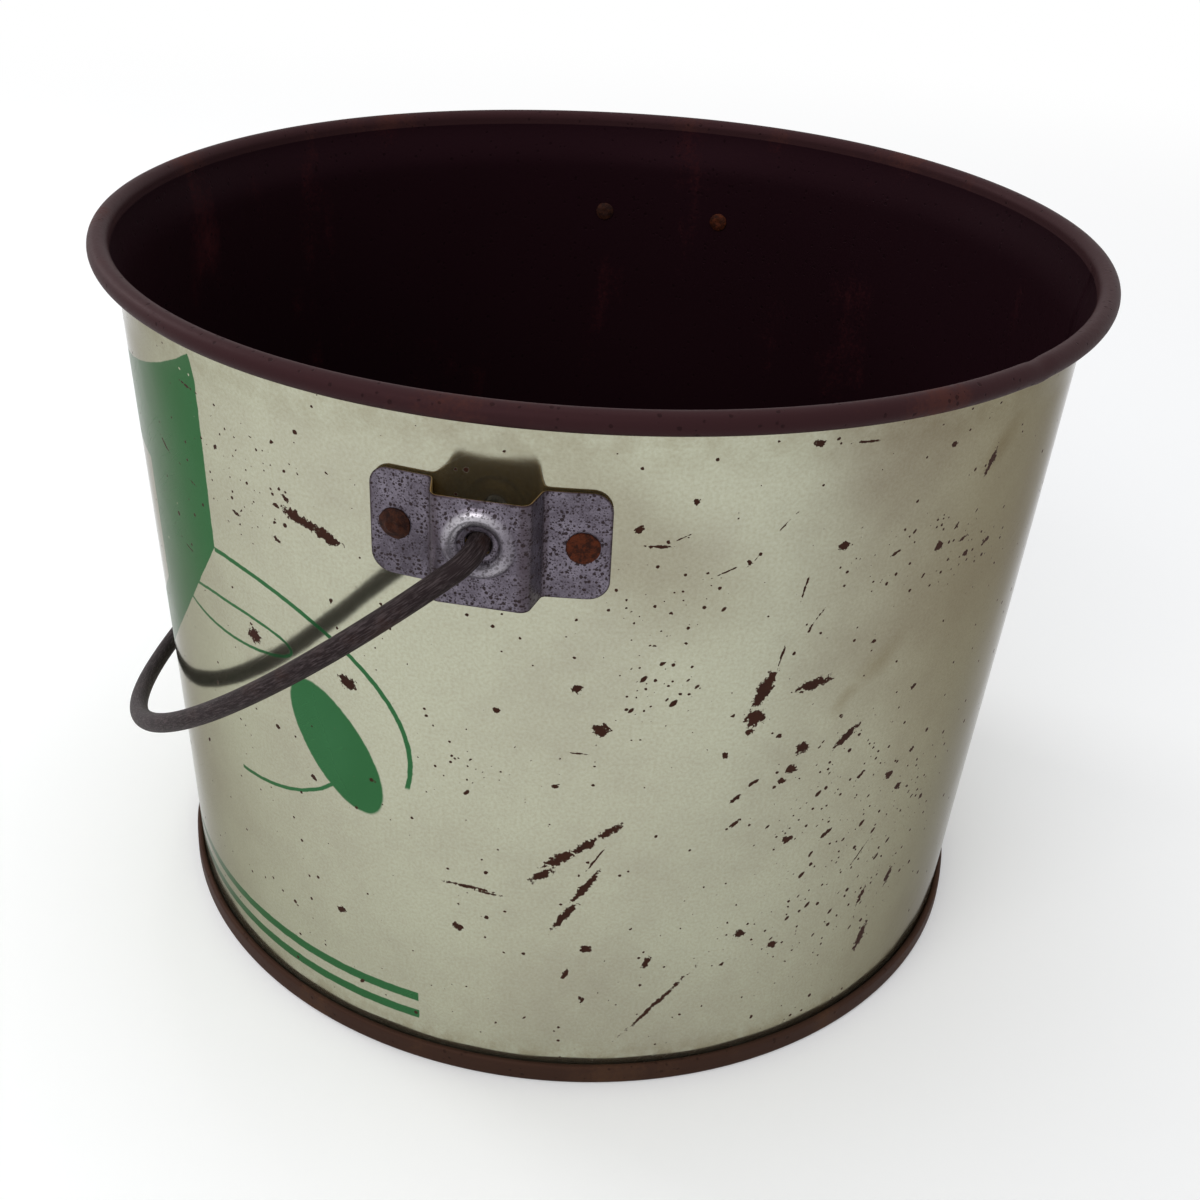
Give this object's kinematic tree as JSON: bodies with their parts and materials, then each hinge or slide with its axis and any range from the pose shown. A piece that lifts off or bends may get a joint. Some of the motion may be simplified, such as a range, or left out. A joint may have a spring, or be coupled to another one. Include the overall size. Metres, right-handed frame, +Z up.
{
  "type": "metal bucket",
  "caption": "Round tapered tinplate bucket with a curled rim, double-seamed bottom, riveted ears and a wire bail, rusty and scratched, for carrying liquids or loose goods.",
  "frame": {"origin": "centre of the base, on the body's axis, on the surface that the foot stands on", "axes": "+Z up, -X towards the printed front, +Y towards the left ear, the bail's pivot along Y"},
  "size_m": [0.2726, 0.2943, 0.1985],
  "materials": {
    "lacquered_wall": "glossy cream-green lacquer over tinplate, with a green print, chips and scratches; bare dark brown inside and on the rim",
    "bare_bottom": "bare tinplate, browned and dull",
    "galvanised_ear": "dull bare steel, speckled with dark pits",
    "rusty_rivet": "dark brown, rusty",
    "bail_wire": "dark brown drawn wire, worn smooth"
  },
  "bodies": {
    "pail": {"body": "lacquered_wall", "bottom": "bare_bottom", "right_ear": "galvanised_ear", "left_ear": "galvanised_ear", "right_ear_front_rivet": "rusty_rivet", "right_ear_back_rivet": "rusty_rivet", "left_ear_front_rivet": "rusty_rivet", "left_ear_back_rivet": "rusty_rivet"},
    "bail": {"bail": "bail_wire"}
  },
  "joints": [
    {"name": "bail_pivot", "type": "hinge", "parent": "pail", "child": "bail", "pos_m": [0, 0, 0.167], "axis": [0, 1, 0], "range_deg": [0, 261.8]}
  ]
}
